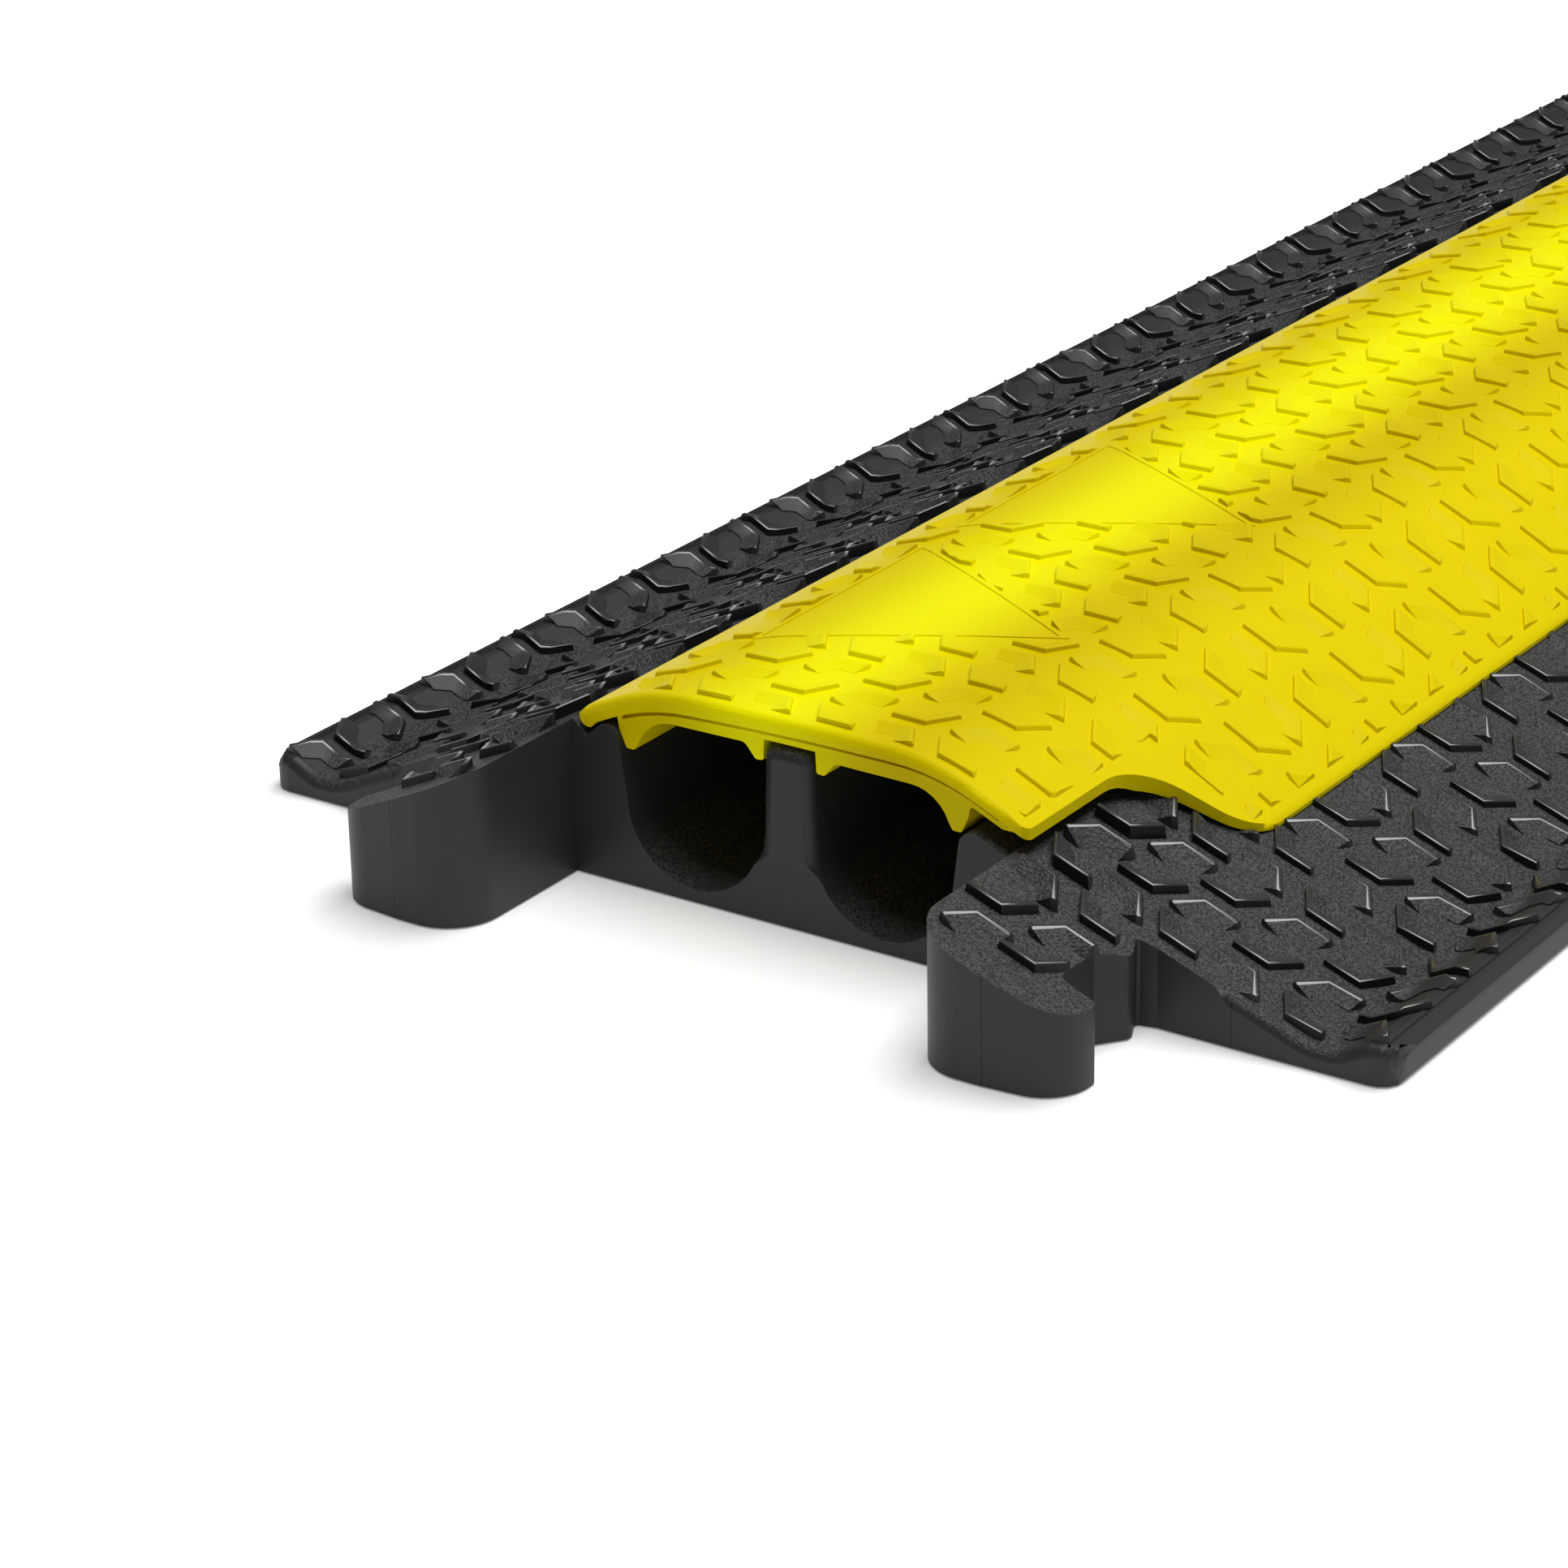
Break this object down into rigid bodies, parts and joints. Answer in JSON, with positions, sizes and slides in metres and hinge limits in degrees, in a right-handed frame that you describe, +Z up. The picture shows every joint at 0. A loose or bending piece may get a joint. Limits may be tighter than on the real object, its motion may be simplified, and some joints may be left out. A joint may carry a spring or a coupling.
{
  "type": "floor cord cover",
  "caption": "Low ramped rubber floor cover with lengthwise cord channels under a hinged yellow lid, with jigsaw knobs and sockets at its ends.",
  "frame": {"origin": "centre of the bounding box on the floor, with the knobs counted in the length", "axes": "+X along the length, from the end with knobs to the end with sockets; +Y across, towards the lid's hinge; +Z up"},
  "size_m": [1, 0.29, 0.0479],
  "materials": {
    "base_rubber": "fine grained matte with satin walls",
    "lid_plastic": "semi-gloss fine grain"
  },
  "bodies": {
    "base": {"base": "base_rubber"},
    "lid": {"lid": "lid_plastic"}
  },
  "joints": [
    {"name": "lid_hinge", "type": "hinge", "parent": "base", "child": "lid", "pos_m": [0.0207, 0.0524, 0.0374], "axis": [-1, 0, 0], "range_deg": [0, 120]}
  ]
}
